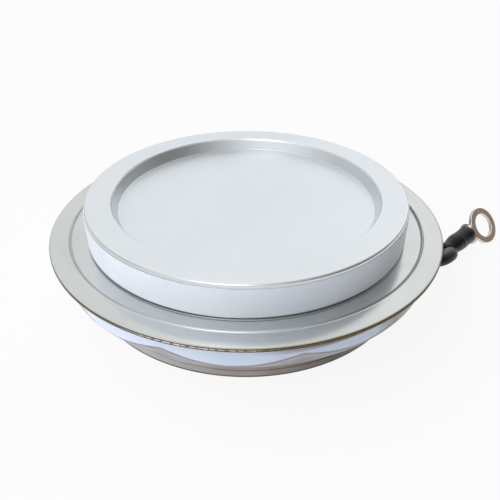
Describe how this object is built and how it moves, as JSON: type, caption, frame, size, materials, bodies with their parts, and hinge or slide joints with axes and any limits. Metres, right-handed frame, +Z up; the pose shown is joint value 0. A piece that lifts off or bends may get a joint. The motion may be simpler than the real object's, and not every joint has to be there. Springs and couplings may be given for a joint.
{
  "type": "thyristor",
  "caption": "Disc-shaped press-pack thyristor: nickel-plated pole pieces clamp a silicon wafer in a glazed ceramic ring with a welded brim and a short gate lead with a ring terminal.",
  "frame": {"origin": "centre of the lower electrode's ring-shaped seating land, on the plane that the part stands on", "axes": "+Z up along the disc's axis, from the lower electrode to the upper one; +X towards the side where the gate lead leaves"},
  "size_m": [0.0954, 0.076, 0.0188],
  "materials": {
    "lower_electrode": "nickel-plated copper, turned, satin grey-brown",
    "base_braze_ring": "silver braze",
    "seat_flange": "nickel-iron sheet, satin",
    "ceramic_braze_lower": "silver braze",
    "ceramic_ring": "white glazed alumina, glossy",
    "ceramic_braze_upper": "silver braze",
    "lower_weld_flange": "nickel-plated sheet, satin",
    "upper_weld_flange": "nickel-plated sheet, fine satin",
    "rim_weld": "cold-weld edge, olive brown",
    "cap_braze_ring": "silver braze",
    "upper_electrode": "nickel-plated copper, lapped satin face",
    "label_band": "plain white polyester film, semi-gloss",
    "lower_silver_foil": "silver foil, matt",
    "anode_molybdenum_disc": "lapped molybdenum",
    "silicon_wafer": "polished silicon",
    "junction_coating": "white silicone rubber",
    "cathode_molybdenum_disc": "lapped molybdenum",
    "upper_silver_foil": "silver foil, matt",
    "locating_ring": "moulded PTFE, off-white",
    "gate_cup": "moulded PTFE, white",
    "gate_spring": "spring steel",
    "gate_pin": "silver-plated copper",
    "gate_bush": "moulded PTFE, off-white",
    "gate_wire": "silver-plated copper wire",
    "gate_wire_sleeve": "PTFE sleeving, white",
    "gate_tube": "nickel-iron tube, soldered end",
    "gate_lead": "black silicone insulation, satin",
    "lead_core": "tinned copper strands",
    "lug_sleeve": "black heat-shrink sleeve, wrinkled, satin",
    "ring_lug": "tinned copper, dull"
  },
  "bodies": {
    "root": {"lower_electrode": "lower_electrode", "base_braze_ring": "base_braze_ring", "seat_flange": "seat_flange", "ceramic_braze_lower": "ceramic_braze_lower", "ceramic_ring": "ceramic_ring", "ceramic_braze_upper": "ceramic_braze_upper", "lower_weld_flange": "lower_weld_flange", "upper_weld_flange": "upper_weld_flange", "rim_weld": "rim_weld", "cap_braze_ring": "cap_braze_ring", "upper_electrode": "upper_electrode", "label_band": "label_band", "lower_silver_foil": "lower_silver_foil", "anode_molybdenum_disc": "anode_molybdenum_disc", "silicon_wafer": "silicon_wafer", "junction_coating": "junction_coating", "cathode_molybdenum_disc": "cathode_molybdenum_disc", "upper_silver_foil": "upper_silver_foil", "locating_ring": "locating_ring", "gate_cup": "gate_cup", "gate_spring": "gate_spring", "gate_pin": "gate_pin", "gate_bush": "gate_bush", "gate_wire": "gate_wire", "gate_wire_sleeve": "gate_wire_sleeve", "gate_tube": "gate_tube", "gate_lead": "gate_lead", "lead_core": "lead_core", "lug_sleeve": "lug_sleeve", "ring_lug": "ring_lug"}
  },
  "joints": []
}
